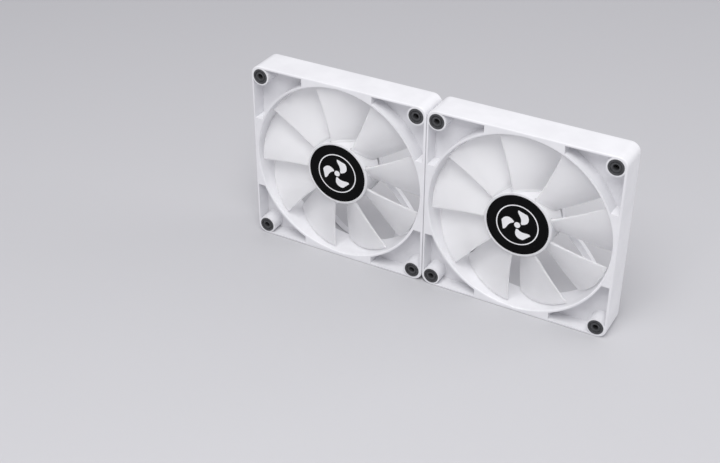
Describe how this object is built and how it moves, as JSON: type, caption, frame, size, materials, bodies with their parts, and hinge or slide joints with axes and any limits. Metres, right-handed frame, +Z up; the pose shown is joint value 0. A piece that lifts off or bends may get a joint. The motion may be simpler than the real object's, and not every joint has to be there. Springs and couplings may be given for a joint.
{
  "type": "twin computer case fan bank",
  "caption": "Bank of side-by-side axial cooling fans with frosted translucent rotors in square white frames, each with a flat lead and plug.",
  "frame": {"origin": "bottom centre of the bank, midway between the two fans and midway through their depth", "axes": "+X along the bank, +Y from the air inlet to the back, +Z up"},
  "size_m": [0.2798, 0.0568, 0.1397],
  "materials": {
    "white_plastic": "satin moulded, cool white",
    "frosted_plastic": "frosted translucent, milky white",
    "grey_rubber": "matt dark grey",
    "white_rubber": "matt soft white",
    "black_label": "black film with a plain ring print, semi-gloss",
    "silver_label": "plain pale film",
    "brass": "turned",
    "sintered_bronze": "porous, oiled",
    "core_steel": "stacked laminations",
    "yoke_steel": "drawn and zinc plated",
    "shaft_steel": "ground",
    "ferrite": "bonded ferrite, matt charcoal",
    "nylon": "natural nylon",
    "copper_wire": "enamelled winding",
    "circuit_board": "solder-masked laminate",
    "black_epoxy": "moulded chips",
    "white_pvc": "soft white insulation, four wires side by side",
    "white_tie": "plastic band",
    "plug_plastic": "moulded nylon",
    "tinned_contacts": "tinned spring bronze"
  },
  "bodies": {
    "frames": {"frame_left": "white_plastic", "front_pads_left": "grey_rubber", "rear_pads_left": "grey_rubber", "bearing_tube_left": "brass", "sleeve_bearing_left": "sintered_bronze", "thrust_cap_left": "white_plastic", "stator_core_left": "core_steel", "stator_bobbin_left": "nylon", "stator_windings_left": "copper_wire", "circuit_board_left": "circuit_board", "board_parts_left": "black_epoxy", "rear_label_left": "silver_label", "lead_root_left": "white_pvc", "lead_grommet_left": "white_rubber", "lead_left": "white_pvc", "lead_hank_left": "white_pvc", "lead_tie_left": "white_tie", "lead_plug_left": "plug_plastic", "plug_contacts_left": "tinned_contacts", "frame_right": "white_plastic", "front_pads_right": "grey_rubber", "rear_pads_right": "grey_rubber", "bearing_tube_right": "brass", "sleeve_bearing_right": "sintered_bronze", "thrust_cap_right": "white_plastic", "stator_core_right": "core_steel", "stator_bobbin_right": "nylon", "stator_windings_right": "copper_wire", "circuit_board_right": "circuit_board", "board_parts_right": "black_epoxy", "rear_label_right": "silver_label", "lead_root_right": "white_pvc", "lead_grommet_right": "white_rubber", "lead_right": "white_pvc", "lead_hank_right": "white_pvc", "lead_tie_right": "white_tie", "lead_plug_right": "plug_plastic", "plug_contacts_right": "tinned_contacts"},
    "rotor_left": {"impeller_left": "frosted_plastic", "hub_label_left": "black_label", "rotor_yoke_left": "yoke_steel", "magnet_ring_left": "ferrite", "shaft_bush_left": "brass", "shaft_left": "shaft_steel", "retaining_clip_left": "nylon"},
    "rotor_right": {"impeller_right": "frosted_plastic", "hub_label_right": "black_label", "rotor_yoke_right": "yoke_steel", "magnet_ring_right": "ferrite", "shaft_bush_right": "brass", "shaft_right": "shaft_steel", "retaining_clip_right": "nylon"}
  },
  "joints": [
    {"name": "rotor_left_spin", "type": "hinge", "parent": "frames", "child": "rotor_left", "pos_m": [-0.07, 0, 0.06985], "axis": [0, -1, 0], "continuous": true},
    {"name": "rotor_right_spin", "type": "hinge", "parent": "frames", "child": "rotor_right", "pos_m": [0.07, 0, 0.06985], "axis": [0, -1, 0], "continuous": true}
  ]
}
